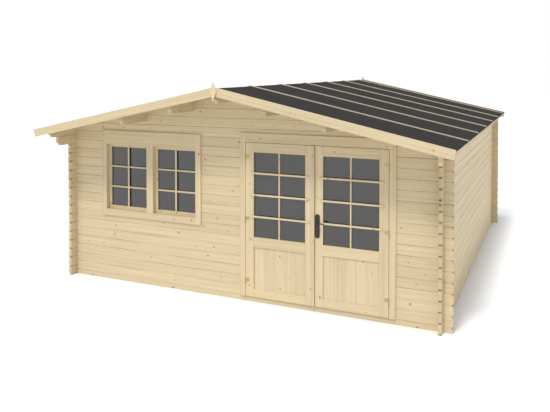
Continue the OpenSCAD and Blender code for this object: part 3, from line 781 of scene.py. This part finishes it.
# %% Boarded panels
PANEL_BOARD = 0.128
for k, (side, span) in enumerate(leaf_spans.items()):
    node = side + "_door_panel"
    rows = (span[0], PANEL_BOARD)
    dress(node, board_timber(node, UP, RIGHT, rows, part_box(node)[0].y, seed=23 * k + 1800))
print("panel boards:", PANEL_BOARD * 1000, "mm")

# %% [markdown]
# Roofing felt is bitumen with crushed slate pressed into it. From a few metres it is a flat charcoal;
# close by it sparkles with grains of a millimetre or two. Two noises do that: a fine one for the grains
# and a slow one for the faint clouds a roll of felt has.

# %% Felt
GRAINS = 520.0
FELT_CLOUDS = (3.0, 7.0, 3.0)
FELT_ROUGH = 0.9
FLAKE_STARTS = 0.58
FLAKE_FULL = 0.72
FLAKE_SHARE = 0.5
FELT_RELIEF = 0.0012
FELT_GLOSS = 0.06
DARK_FELT = (0.0158, 0.0145, 0.014, 1.0)
PALE_FELT = (0.028, 0.026, 0.025, 1.0)
SLATE = (0.135, 0.133, 0.133, 1.0)
bench = Bench("slate_felt")
bench.shader.inputs["Specular IOR Level"].default_value = FELT_GLOSS
grains = bench.bumps((GRAINS,) * 3, detail=1.0)
clouds = bench.bumps(FELT_CLOUDS, detail=3.0)
flakes = bench.fade(grains, FLAKE_STARTS, FLAKE_FULL)
felt_colour = bench.mix(clouds, DARK_FELT, PALE_FELT)
felt_colour = bench.mix(flakes * FLAKE_SHARE, felt_colour, SLATE)
dress("roof_felt", bench.finish(felt_colour, grains, FELT_RELIEF, FELT_ROUGH))
print("felt grains: about", round(1000 / GRAINS, 1), "mm")

# %% [markdown]
# The hinges are steel with yellow zinc plating, which looks like dull brass with cloudy patches. The
# handle set is cast and lacquered black, with the fine pebble of a powder coat. Both need one noise
# that is the same in all directions, which also varies the gloss.

# %% Metal
ZINC_CLOUDS = 60.0
BRIGHT_ZINC = (0.55, 0.45, 0.22, 1.0)
DULL_ZINC = (0.40, 0.32, 0.16, 1.0)
ZINC_RELIEF = 0.0001
ZINC_ROUGH = 0.24
ZINC_ROUGHER = 0.25
HINGE_NODES = ["left_hinge_pins", "right_hinge_pins", "left_hinge_plates", "right_hinge_plates"]
bench = Bench("yellow_zinc", metallic=0.9)
cloudy = bench.bumps((ZINC_CLOUDS,) * 3, detail=3.0)
zinc = bench.mix(cloudy, BRIGHT_ZINC, DULL_ZINC)
yellow_zinc = bench.finish(zinc, cloudy, ZINC_RELIEF, cloudy * ZINC_ROUGHER + ZINC_ROUGH)
for node in HINGE_NODES:
    dress(node, yellow_zinc)

LACQUER_PEBBLES = 900.0
DARK_LACQUER = (0.010, 0.010, 0.011, 1.0)
PALE_LACQUER = (0.020, 0.020, 0.021, 1.0)
LACQUER_RELIEF = 0.0002
LACQUER_ROUGH = 0.28
LACQUER_ROUGHER = 0.2
HANDLE_NODES = ["handle_plates", "handle_lever"]
bench = Bench("black_lacquer")
pebble = bench.bumps((LACQUER_PEBBLES,) * 3, detail=1.0)
lacquer = bench.mix(pebble, DARK_LACQUER, PALE_LACQUER)
gloss = pebble * LACQUER_ROUGHER + LACQUER_ROUGH
black_lacquer = bench.finish(lacquer, pebble, LACQUER_RELIEF, gloss)
for node in HANDLE_NODES:
    dress(node, black_lacquer)
print("metal nodes:", len(HINGE_NODES) + len(HANDLE_NODES))

# %% [markdown]
# From outside by day a pane is mostly a mirror of the bright surroundings over a dark room, so the
# photo shows an even grey. Grey see-through glass with a strong reflection gives that, and still lets
# a little of the inside through. Its constants sit on the shader, so that they also reach the export.

# %% Glass
GLASS_IOR = 1.72
GLASS_CLEAR = 0.9
GLASS_SMEARS = (2.0, 2.0, 5.0)
GLASS_RELIEF = 0.00005
GLASS_ROUGH = 0.015
GLASS_ROUGHER = 0.03
DARK_GLASS = (0.19, 0.165, 0.15, 1.0)
PALE_GLASS = (0.23, 0.205, 0.19, 1.0)
GLASS_NODES = ["left_door_glass", "right_door_glass", "window_glass"]
bench = Bench("grey_glass")
bench.shader.inputs["IOR"].default_value = GLASS_IOR
bench.shader.inputs["Transmission Weight"].default_value = GLASS_CLEAR
smear = bench.bumps(GLASS_SMEARS, detail=2.0)
tint = bench.mix(smear, DARK_GLASS, PALE_GLASS)
grey_glass = bench.finish(tint, smear, GLASS_RELIEF, smear * GLASS_ROUGHER + GLASS_ROUGH)
for node in GLASS_NODES:
    dress(node, grey_glass)
print("panes:", len(leaf_spans) + len(sash_spans))

# %% [markdown]
# New pieces are strips with one section along a path. Rings of points, one ring per station, are
# joined by four-sided faces, and the two end rings are closed by one face each. A frame with mitred
# corners is the same thing with the path closed, so it needs no ends.


# %% Strips
def tube(rings, closed):
    """Points and faces of a strip: rings is (stations, points, 3), each joined to the next one."""
    stations, points = rings.shape[:2]
    index = np.arange(stations * points).reshape(stations, points)
    here = index if closed else index[:-1]
    ahead = np.roll(index, -1, axis=0)[: len(here)]
    corners = [here, np.roll(here, -1, axis=1), np.roll(ahead, -1, axis=1), ahead]
    faces = np.stack(corners, axis=-1).reshape(-1, 4).tolist()
    ends = [] if closed else [index[0, ::-1].tolist(), index[-1].tolist()]
    return rings.reshape(-1, 3), faces + ends


def put_piece(name, parts, material, body, smooth=False):
    """One mesh from several strips, with its normals outwards, riding on a body."""
    points = np.concatenate([part[0] for part in parts])
    starts = np.cumsum([0] + [len(part[0]) for part in parts[:-1]])
    faces = [[int(k + start) for k in face] for part, start in zip(parts, starts) for face in part[1]]
    mesh = bpy.data.meshes.new(name)
    mesh.from_pydata(points.tolist(), [], faces)
    shell = bmesh.new()
    shell.from_mesh(mesh)
    bmesh.ops.recalc_face_normals(shell, faces=shell.faces)
    shell.to_mesh(mesh)
    shell.free()
    mesh.polygons.foreach_set("use_smooth", np.full(len(mesh.polygons), smooth))
    mesh.materials.append(material)
    piece = bpy.data.objects.new(name, mesh)
    scene.collection.objects.link(piece)
    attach(piece, body)
    print(name, "on", body + ":", len(points), "points,", len(faces), "faces")


box_faces = tube(np.zeros((2, 4, 3)), False)[1]
print("two rings of four points make a box of", len(box_faces), "faces")

# %% [markdown]
# The panes are one sheet to a leaf, and loose bars make them look like small panes: one upright and
# three level bars on a leaf, one upright and two level bars on a sash. A bar is one rounded section at
# both ends of a straight line, and its ends are slanted by moving each point of the end ring back by
# its height. Level bars are set out so that the small panes between them are all of one height.

# %% Bars
OUT = np.array([0.0, -1.0, 0.0])
ARC_POINTS = 5
LEVEL_SLANT = 1.0


def rounded_section(width, height, radius):
    """A flat-backed section, as (sideways, out) pairs: its two front edges are quarter circles."""
    turn = np.linspace(0.0, np.pi / 2, ARC_POINTS)
    right = np.column_stack([np.sin(turn[::-1]), np.cos(turn[::-1])]) * radius
    left = np.column_stack([-np.sin(turn), np.cos(turn)]) * radius
    right += [width / 2 - radius, height - radius]
    left += [radius - width / 2, height - radius]
    return np.concatenate([[[-width / 2, 0.0], [width / 2, 0.0]], right, left])


def bar(start, end, section, slant):
    """A straight bar: a ring is its station plus the section, leaning in by slant times height."""
    start = np.array(start)
    end = np.array(end)
    axis = (end - start) / np.linalg.norm(end - start)
    side = np.cross(OUT, axis)
    flat = section[:, :1] * side + section[:, 1:] * OUT
    lean = section[:, 1:] * slant * axis
    return tube(np.stack([start + flat + lean, end + flat - lean]), False)


def even_panes(low, high, bars, width):
    """Heights of level bars that leave panes of one height: (opening - bars * width) / (bars + 1)."""
    pane = (high - low - bars * width) / (bars + 1)
    return low + (pane + width) * np.arange(1, bars + 1) - width / 2


def level_bars(span, reaches, heights, face, section):
    """Level bars over one opening, each reaching past its left and right edge by its own reaches."""
    return [
        bar((span[0] - left, face, z), (span[1] + right, face, z), section, LEVEL_SLANT)
        for z, (left, right) in zip(heights, reaches)
    ]


def upright_bar(span, low, high, face, section):
    """One bar up the middle of an opening."""
    middle = (span[0] + span[1]) / 2
    return [bar((middle, face, low), (middle, face, high), section, 0.0)]


print("a bar's section:", 2 + 2 * ARC_POINTS, "points")

# %% [markdown]
# On a leaf the upright is bedded on the pane and the level bars lie on the frame, running on over the
# stiles; beside the handle the lowest one stops at the opening. The bars share two finishes, one with
# upright and one with level grain, whose rows are a little wider than a bar.

# %% Bars of the leaves
BED = 0.0003
BAR_HEIGHT = 0.013
BAR_EDGE = 0.004
LEAF_LEVEL_WIDTH = 0.021
LEAF_UPRIGHT_WIDTH = 0.017
LEAF_BARS = 3
LEAF_REACHES = {
    "left": [(0.050, 0.060)] * LEAF_BARS,
    "right": [(-0.002, 0.050), (0.045, 0.065), (0.045, 0.065)],
}
UPRIGHT_BAR_ROWS = (-3.0, 0.026)
LEVEL_BAR_ROWS = (0.0, 0.028)
bar_up = board_timber("upright_bars", UP, RIGHT, UPRIGHT_BAR_ROWS, leaf_face, seed=2000)
bar_level = board_timber("level_bars", RIGHT, UP, LEVEL_BAR_ROWS, leaf_face, seed=2100)
leaf_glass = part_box("left_door_glass")
pane_low = leaf_glass[0].z + GLASS_SEAT
pane_high = leaf_glass[1].z - GLASS_SEAT
pane_bed = leaf_glass[0].y - BED
leaf_level = rounded_section(LEAF_LEVEL_WIDTH, BAR_HEIGHT, BAR_EDGE)
leaf_upright = rounded_section(LEAF_UPRIGHT_WIDTH, pane_bed - leaf_face - BED, BAR_EDGE)
leaf_heights = even_panes(pane_low, pane_high, LEAF_BARS, LEAF_LEVEL_WIDTH)
for side, span in leaf_spans.items():
    body = side + "_leaf"
    level = level_bars(span, LEAF_REACHES[side], leaf_heights, leaf_face, leaf_level)
    put_piece(body + "_level_bars", level, bar_level, body)
    upright = upright_bar(span, pane_low, pane_high, pane_bed, leaf_upright)
    put_piece(body + "_upright_bar", upright, bar_up, body)
print("bars of the leaves at", [round(float(z), 3) for z in leaf_heights])

# %% [markdown]
# The window's bars all lie in the plane of the sashes' outer face. The level ones run on over the
# stiles. The upright ones stop at the edges of the opening and are 2 mm lower, so that the level ones
# are seen to run through.

# %% Bars of the window
SASH_LEVEL_WIDTH = 0.020
SASH_UPRIGHT_WIDTH = 0.022
SASH_UPRIGHT_HEIGHT = 0.011
SASH_BARS = 2
SASH_REACHES = [(0.034, 0.034)] * SASH_BARS
light_low = panes_low.z + GLASS_SEAT
light_high = panes_high.z - GLASS_SEAT
sash_level = rounded_section(SASH_LEVEL_WIDTH, BAR_HEIGHT, BAR_EDGE)
sash_upright = rounded_section(SASH_UPRIGHT_WIDTH, SASH_UPRIGHT_HEIGHT, BAR_EDGE)
sash_heights = even_panes(light_low, light_high, SASH_BARS, SASH_LEVEL_WIDTH)
level = []
upright = []
for span in sash_spans:
    level += level_bars(span, SASH_REACHES, sash_heights, sash_low.y, sash_level)
    upright += upright_bar(span, light_low, light_high, sash_low.y, sash_upright)
put_piece("window_level_bars", level, bar_level, "shed")
put_piece("window_upright_bars", upright, bar_up, "shed")
print("bars of the window at", [round(float(z), 3) for z in sash_heights])

# %% [markdown]
# Indoors a bead holds each pane in its frame: a slim strip all round the opening, mitred at the
# corners. Its path is the four corners of the opening. A point of the section that lies d inside the
# opening moves by d both sideways and upwards at a corner, which is exactly a mitre.

# %% Glazing beads
BEAD = np.array([[0.0, 0.0], [9.0, 0.0], [9.0, 4.0], [7.5, 7.5], [4.0, 9.0], [0.0, 9.0]]) / 1000
INWARDS = np.array([[1.0, 1.0], [-1.0, 1.0], [-1.0, -1.0], [1.0, -1.0]])


def bead(span, low, high, glass_back):
    """A mitred strip round an opening: corner plus d times the inward diagonal, lifted off the pane."""
    corners = np.array([[span[0], low], [span[1], low], [span[1], high], [span[0], high]])
    flat = corners[:, None, :] + INWARDS[:, None, :] * BEAD[None, :, :1]
    lift = np.broadcast_to(glass_back + BED + BEAD[None, :, 1], flat.shape[:2])
    return tube(np.stack([flat[..., 0], lift, flat[..., 1]], axis=-1), True)


for side, span in leaf_spans.items():
    body = side + "_leaf"
    leaf_bead = bead(span, pane_low, pane_high, leaf_glass[1].y)
    put_piece(body + "_bead", [leaf_bead], bar_level, body)
sash_beads = [bead(span, light_low, light_high, panes_high.y) for span in sash_spans]
put_piece("window_beads", sash_beads, bar_level, "shed")

# %% [markdown]
# Screws hold the hinge plates, the handle plates, the casings and the bargeboards, and nails hold the
# battens. Each head is a shallow dome turned round its own axis: four rings, the lowest sunk into the
# board, and a flat top. All heads of a piece are one mesh, worked out together by adding the same rings
# to every place.

# %% Heads
HEAD_SIDES = 10
RING_SHARES = np.array([1.0, 1.0, 0.8, 0.4])
RING_RISES = np.array([-0.3, 0.15, 0.32, 0.42])


def heads(places, outward, sideways, radius):
    """Domes at many places: a ring is a circle of a share of the radius, raised by another share.

    The circle is cos(turn) times sideways plus sin(turn) times the direction square to both.
    """
    places = np.asarray(places, float).reshape(-1, 1, 1, 3)
    outward = np.array(outward, float)
    sideways = np.array(sideways, float)
    other = np.cross(outward, sideways)
    turn = np.linspace(0.0, 2 * np.pi, HEAD_SIDES, endpoint=False)
    circle = np.cos(turn)[:, None] * sideways + np.sin(turn)[:, None] * other
    rings = (RING_SHARES[:, None, None] * circle + RING_RISES[:, None, None] * outward) * radius
    return [tube(one, False) for one in places + rings]


print("a head:", HEAD_SIDES * len(RING_SHARES), "points")

# %% [markdown]
# Each hinge plate has three screws beside its pin, and the hinges of a leaf are evenly spaced, so the
# box of its plates gives all their places. The handle has a plate on both sides of the leaf, with a
# screw at each end.

# %% Screws of the hinges and the handle
HINGE_HALF = 0.038
HINGE_RADIUS = 0.006
HINGE_PLATE = 0.002
HINGE_SPOTS = np.array([[0.022, 0.010], [0.022, 0.028], [0.040, 0.019]])
HINGE_SCREW = 0.0032
for side, sign in [("left", 1), ("right", -1)]:
    body = side + "_leaf"
    low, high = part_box(side + "_hinge_plates")
    pivot = low.x + HINGE_RADIUS if sign > 0 else high.x - HINGE_RADIUS
    lowest = low.z
    highest = high.z - HINGE_HALF
    spots = [
        (pivot + sign * dx, leaf_face - HINGE_PLATE, z + dz)
        for z in (lowest, (lowest + highest) / 2, highest)
        for dx, dz in HINGE_SPOTS
    ]
    screws = heads(spots, OUT, RIGHT, HINGE_SCREW)
    put_piece(body + "_screws", screws, yellow_zinc, body, True)

HANDLE_SCREW = 0.0036
HANDLE_INSET = 0.012
plates_low, plates_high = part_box("handle_plates")
mid_x = (plates_low.x + plates_high.x) / 2
ends = [plates_low.z + HANDLE_INSET, plates_high.z - HANDLE_INSET]
handle_heads = heads([(mid_x, plates_low.y, z) for z in ends], OUT, RIGHT, HANDLE_SCREW)
handle_heads += heads([(mid_x, plates_high.y, z) for z in ends], -OUT, RIGHT, HANDLE_SCREW)
put_piece("handle_screws", handle_heads, black_lacquer, "right_leaf", True)

# %% [markdown]
# On the shed itself the heads follow the boards. Along the casings of the door and window they stand at
# even steps, near the outer edge of an upright and in the face of a level board.

# %% Screws of the casings
CASING_SCREW = 0.0035
EDGE_INSET = 0.022
DOOR_FOOT_INSET = 0.12
DOOR_TOP_INSET = 0.05
DOOR_JAMB_SCREWS = 5
WINDOW_JAMB_INSET = 0.06
LEVEL_INSET = 0.15
CASING_SCREWS = 4

# A negative offset is measured down from a board's top edge, a positive one up from its lower edge
LEVEL_OFFSETS = {"door_head": -0.03, "window_head": -0.04, "window_sill": 0.025}
casing_spots = []
for node, sign in [("door_left_jamb", 1), ("door_right_jamb", -1)]:
    low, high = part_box(node)
    x = low.x + EDGE_INSET if sign > 0 else high.x - EDGE_INSET
    heights = np.linspace(low.z + DOOR_FOOT_INSET, high.z - DOOR_TOP_INSET, DOOR_JAMB_SCREWS)
    casing_spots += [(x, low.y, z) for z in heights]
heights = np.linspace(jambs_low.z + WINDOW_JAMB_INSET, jambs_high.z - WINDOW_JAMB_INSET, CASING_SCREWS)
for x in (jambs_low.x + EDGE_INSET, jambs_high.x - EDGE_INSET):
    casing_spots += [(x, jambs_low.y, z) for z in heights]
for node, offset in LEVEL_OFFSETS.items():
    low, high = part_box(node)
    z = high.z + offset if offset < 0 else low.z + offset
    across = np.linspace(low.x + LEVEL_INSET, high.x - LEVEL_INSET, CASING_SCREWS)
    casing_spots += [(x, low.y, z) for x in across]
shed_heads = heads(casing_spots, OUT, RIGHT, CASING_SCREW)
print("casing screws:", len(casing_spots))

# %% [markdown]
# A bargeboard is screwed to the ends of the purlins and the side walls, with a pair of screws at each.
# The board falls by the tangent of the pitch on the way out from the ridge, which gives the height of
# its middle at every crossing.

# %% Screws of the bargeboards
PURLIN_HALF = 0.024
BESIDE_RIDGE = 0.06
PAIR_HALF = 0.022
slope = math.tan(PITCH)
inner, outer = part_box("right_purlins")
wall_at = sum(corner.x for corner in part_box("right_wall")) / 2
on_right = np.array([BESIDE_RIDGE, inner.x + PURLIN_HALF, outer.x - PURLIN_HALF, wall_at])
crossings = np.concatenate([-on_right, on_right])
for node, outward in [("front_left_bargeboard", -1), ("rear_left_bargeboard", 1)]:
    low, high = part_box(node)
    face = low.y if outward < 0 else high.y
    board_mid = high.z - np.abs(crossings) * slope - BARGE_WIDTH / 2
    pairs = [(x, face, z + dz) for x, z in zip(crossings, board_mid) for dz in (-PAIR_HALF, PAIR_HALF)]
    shed_heads += heads(pairs, OUT * -outward, RIGHT, CASING_SCREW)
print("screws in a pair of bargeboards:", len(pairs))

# %% [markdown]
# Nails go down the middle of each batten from ridge to eaves, square to the slope. A nail's distance
# from the ridge gives its place on the slope, and the number of its batten the place along the ridge,
# so two lists make them all.

# %% Nails of the battens
NAIL = 0.0045
NAILS_FROM = 0.12
NAILS_TO = 2.5
NAILS_PER_BATTEN = 9
from_ridge = np.linspace(NAILS_FROM, NAILS_TO, NAILS_PER_BATTEN)
for node, climb in [("left_roof_battens", 1), ("right_roof_battens", -1)]:
    low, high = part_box(node)
    along_slope, normal = slope_axes(climb)
    battens_y = low.y + BATTEN_WIDTH / 2 + BATTEN_STEP * np.arange(battens_per_slope)
    nails = [(-climb * d, y, high.z - d * slope) for y in battens_y for d in from_ridge]
    shed_heads += heads(nails, normal, along_slope, NAIL)
print("nails on a slope:", len(nails))
put_piece("shed_screws", shed_heads, yellow_zinc, "shed", True)

# %% [markdown]
# The dressed shed has to stay the size of the solids.

# %% Size and finish
dressed_box = [[float(n) for n in corner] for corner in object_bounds()]
growth = np.abs(np.array(dressed_box) - np.array(cad_box)).max()
print("the dressed shed differs from the solids by", round(float(growth) * 1000, 2), "mm at most")
